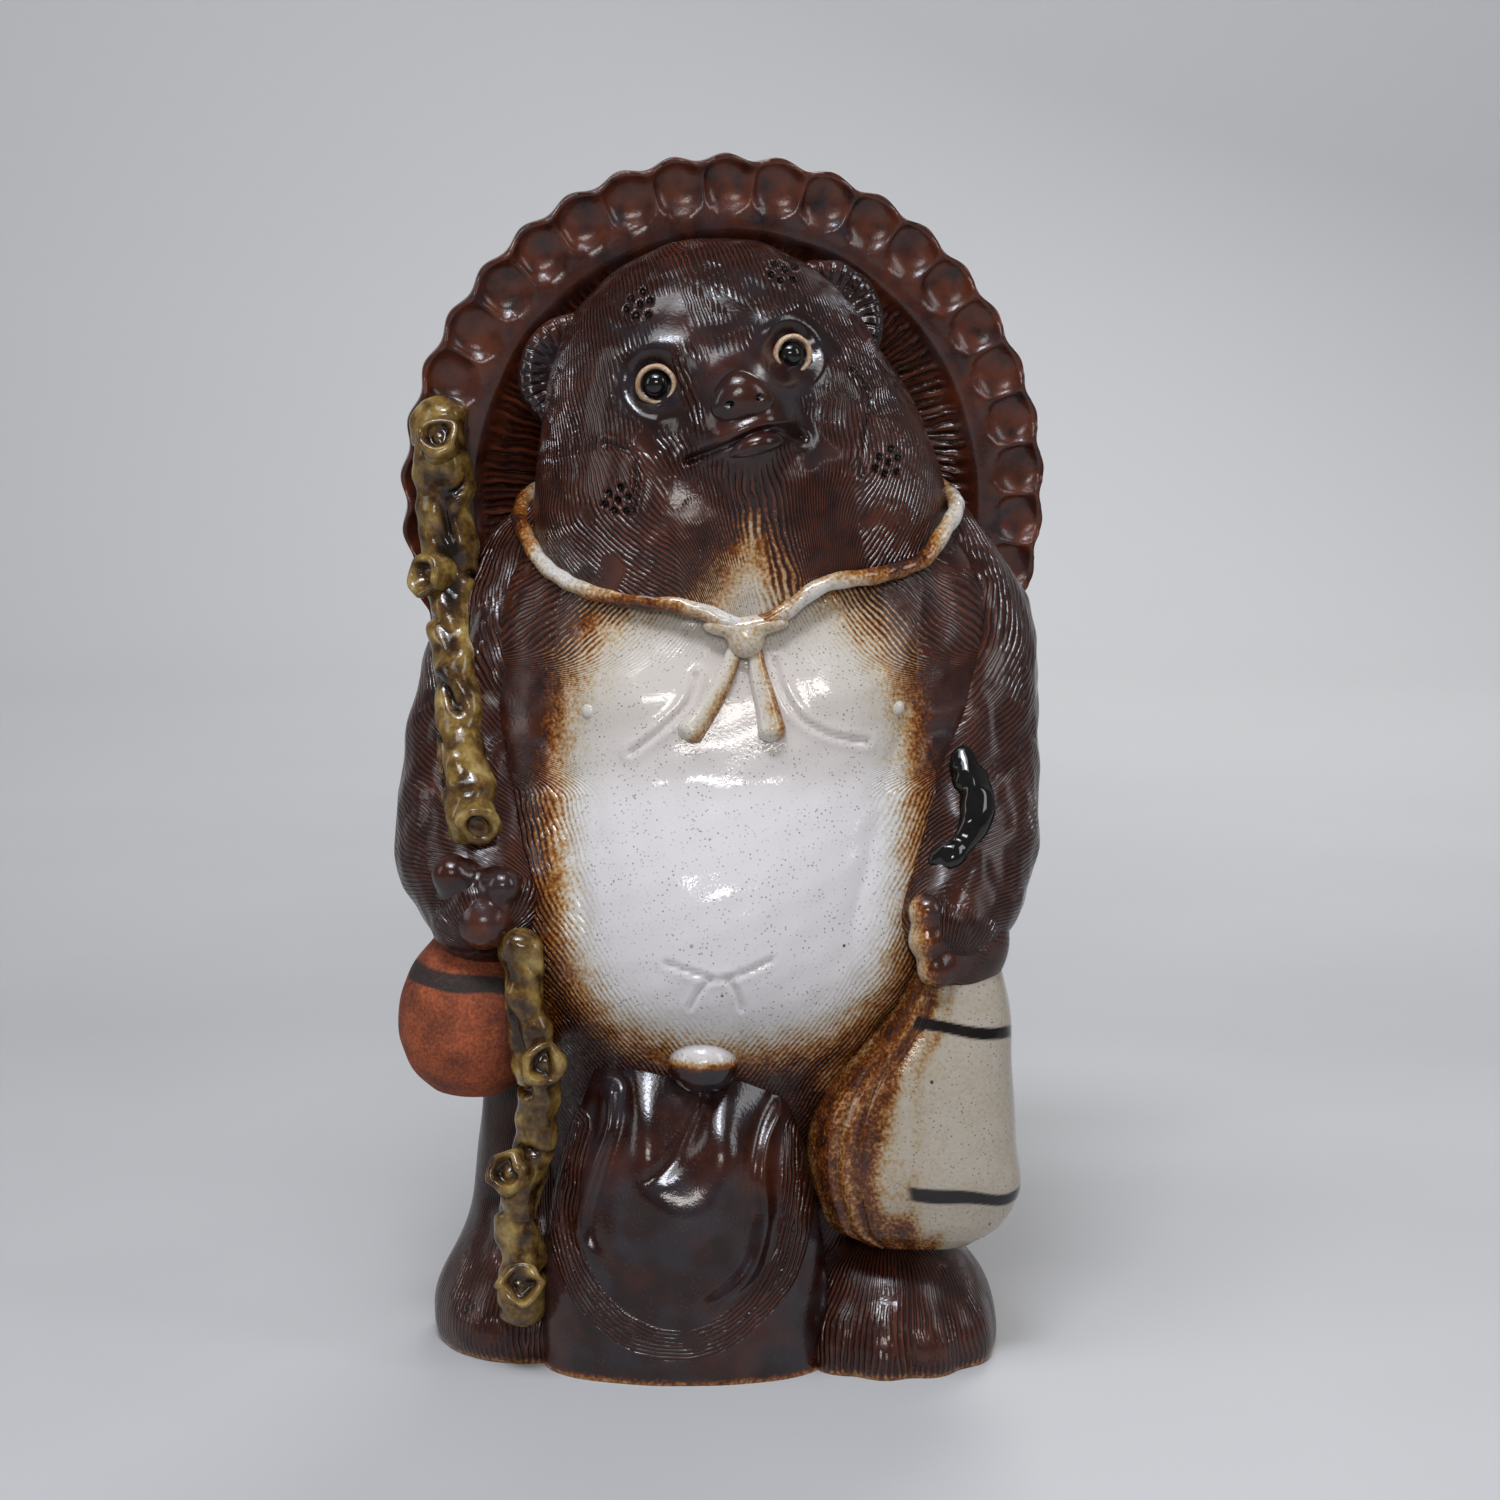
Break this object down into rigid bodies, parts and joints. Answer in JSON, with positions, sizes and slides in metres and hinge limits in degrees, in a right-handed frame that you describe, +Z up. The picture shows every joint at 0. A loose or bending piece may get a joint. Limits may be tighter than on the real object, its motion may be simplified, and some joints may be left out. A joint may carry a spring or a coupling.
{
  "type": "tanuki statue",
  "caption": "Standing glazed stoneware tanuki figure with a straw hat on its back, flask, account book and staff, hollow built and made to stand on a flat surface.",
  "frame": {"origin": "on the floor plane under the middle of the base, on the base slab's underside", "axes": "+Z up along the figure, -Y the way the figure faces, +X the figure's own left side"},
  "size_m": [0.2422, 0.2017, 0.4187],
  "materials": {
    "brown_glaze": "glossy iron-brown glaze over combed clay",
    "white_glaze": "glossy speckled white glaze over combed clay",
    "staff_glaze": "glossy amber-brown ash glaze",
    "red_clay": "bare fired terracotta",
    "pale_clay": "bare pale clay",
    "black_glaze": "wet-looking black glaze"
  },
  "bodies": {
    "root": {"body_front_shell": "white_glaze", "body_back_shell": "brown_glaze", "base_slab": "red_clay", "head_front_shell": "brown_glaze", "head_back_shell": "brown_glaze", "straw_hat": "brown_glaze", "right_ear": "brown_glaze", "left_ear": "brown_glaze", "right_eye_ring": "pale_clay", "left_eye_ring": "pale_clay", "right_eyeball": "black_glaze", "left_eyeball": "black_glaze", "nose_pad": "brown_glaze", "lower_lip": "brown_glaze", "right_chin_cord": "brown_glaze", "left_chin_cord": "brown_glaze", "cord_knot": "white_glaze", "right_cord_tail": "white_glaze", "left_cord_tail": "white_glaze", "chest_beads": "white_glaze", "right_arm": "brown_glaze", "left_arm": "brown_glaze", "right_hand": "brown_glaze", "left_hand": "brown_glaze", "sake_flask": "red_clay", "account_book": "white_glaze", "staff_upper": "staff_glaze", "staff_lower": "staff_glaze", "staff_stubs": "staff_glaze", "money_sack": "brown_glaze", "sack_knob": "white_glaze", "right_foot": "brown_glaze", "left_foot": "brown_glaze", "tail": "brown_glaze"}
  },
  "joints": []
}
